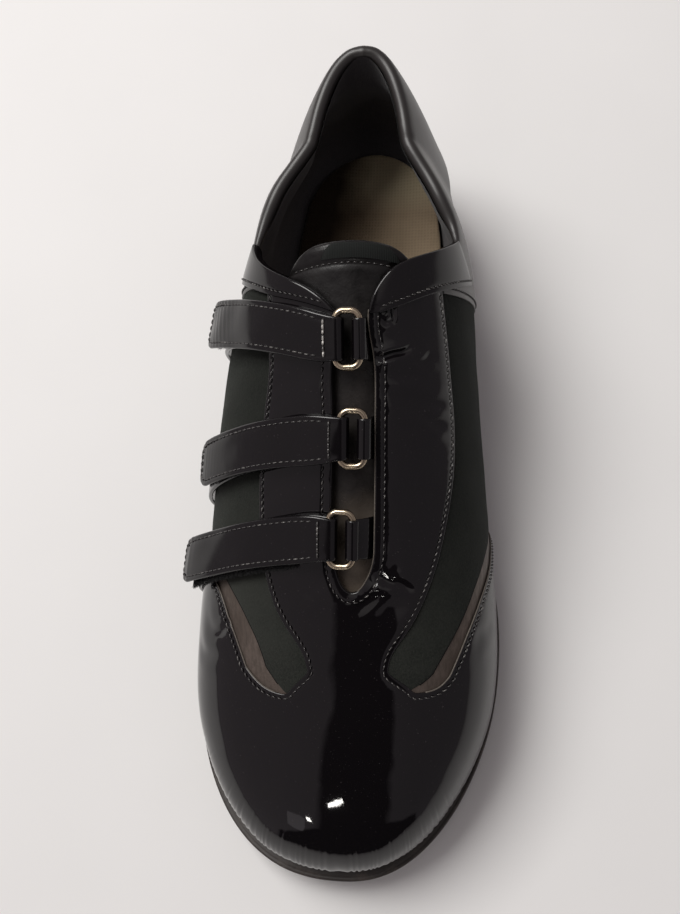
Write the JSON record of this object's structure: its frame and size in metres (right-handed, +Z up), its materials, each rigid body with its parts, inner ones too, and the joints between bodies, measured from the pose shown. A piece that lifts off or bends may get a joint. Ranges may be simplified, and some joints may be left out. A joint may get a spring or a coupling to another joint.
{
  "type": "sneaker",
  "caption": "Low black patent shoe, right foot, with hook-and-loop straps through oval metal rings, suede and metallic inlays and a rubber sole",
  "frame": {"origin": "middle of the shoe's box, on the floor", "axes": "+Z up from the floor, toe towards -Y, heel towards +Y, inner (medial) side towards +X, outer side with the straps towards -X"},
  "size_m": [0.1038, 0.2634, 0.0966],
  "materials": {
    "patent": "glossy black patent leather",
    "suede": "matt black-green suede",
    "pewter": "pewter metallic leather",
    "rubber": "black moulded rubber",
    "insole_cloth": "grey-brown lining cloth",
    "hook_and_loop": "black hook-and-loop tape",
    "ring_metal": "pale gold plated wire"
  },
  "bodies": {
    "root": {"outsole": "rubber", "insole": "insole_cloth", "upper": "patent", "tongue": "patent", "cuff_lateral": "patent", "cuff_medial": "patent", "suede_panel_lateral": "suede", "suede_panel_medial": "suede", "pewter_strip_lateral": "pewter", "pewter_strip_medial": "pewter", "strap_1": "patent", "strap_2": "patent", "strap_3": "patent", "fastener_1": "hook_and_loop", "fastener_2": "hook_and_loop", "fastener_3": "hook_and_loop", "ring_1": "ring_metal", "ring_2": "ring_metal", "ring_3": "ring_metal", "ring_tab_1": "patent", "ring_tab_2": "patent", "ring_tab_3": "patent"}
  },
  "joints": []
}
